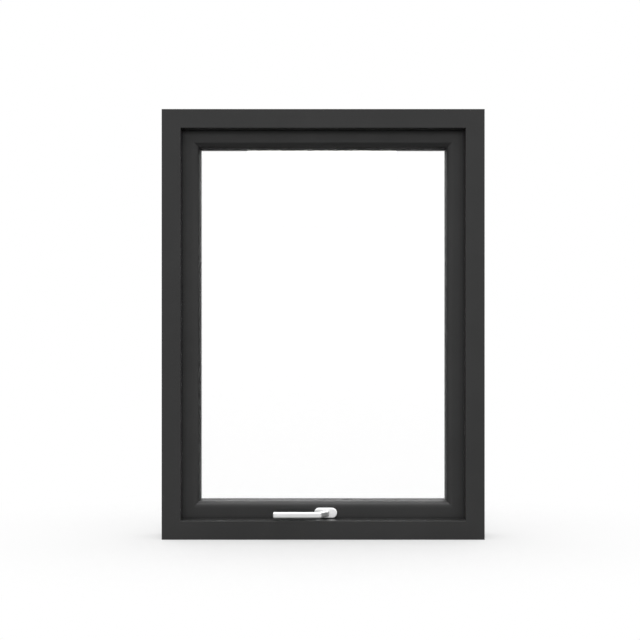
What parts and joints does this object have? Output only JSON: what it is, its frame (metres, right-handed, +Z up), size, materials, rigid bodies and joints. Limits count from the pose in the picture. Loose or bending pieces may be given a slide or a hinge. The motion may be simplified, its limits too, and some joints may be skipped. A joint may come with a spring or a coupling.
{
  "type": "top hung awning window",
  "caption": "Top hung awning window: timber frame and sash with outdoor metal cladding, double glazing, head hinges and a turning handle on the bottom rail.",
  "frame": {"origin": "middle of the sill's underside, at half the frame's depth", "axes": "+X along the width, to the right seen from the room; +Y points outdoors; +Z up along the height"},
  "size_m": [0.9, 0.13, 1.2],
  "materials": {
    "grey_paint": "satin",
    "grey_cladding": "satin",
    "clear_glass": "polished",
    "spacer_metal": "satin",
    "black_gasket": "matt",
    "setting_block": "matt",
    "hinge_steel": "satin",
    "handle_metal": "satin"
  },
  "bodies": {
    "window": {"frame_head": "grey_paint", "frame_sill": "grey_paint", "frame_jamb_left": "grey_paint", "frame_jamb_right": "grey_paint", "head_cladding": "grey_cladding", "sill_cladding": "grey_cladding", "jamb_cladding_left": "grey_cladding", "jamb_cladding_right": "grey_cladding", "sash_top_rail": "grey_paint", "sash_bottom_rail": "grey_paint", "sash_left_stile": "grey_paint", "sash_right_stile": "grey_paint", "sash_cladding_top": "grey_cladding", "sash_cladding_bottom": "grey_cladding", "sash_cladding_left": "grey_cladding", "sash_cladding_right": "grey_cladding", "glass_room_pane": "clear_glass", "glass_outdoor_pane": "clear_glass", "glass_spacer": "spacer_metal", "glass_setting_blocks": "setting_block", "glazing_gasket_room": "black_gasket", "glazing_gasket_outdoor": "black_gasket", "weather_gasket": "black_gasket", "hinge_frame_leaf_left": "hinge_steel", "hinge_frame_leaf_right": "hinge_steel", "hinge_sash_leaf_left": "hinge_steel", "hinge_sash_leaf_right": "hinge_steel", "hinge_pin_left": "hinge_steel", "hinge_pin_right": "hinge_steel", "handle_rosette": "handle_metal"},
    "handle": {"handle_lever": "handle_metal", "handle_spindle": "hinge_steel"}
  },
  "joints": [
    {"name": "handle_turn", "type": "hinge", "parent": "window", "child": "handle", "pos_m": [0.007, -0.0125, 0.06825], "axis": [0, 1, 0], "range_deg": [0, 90]}
  ]
}
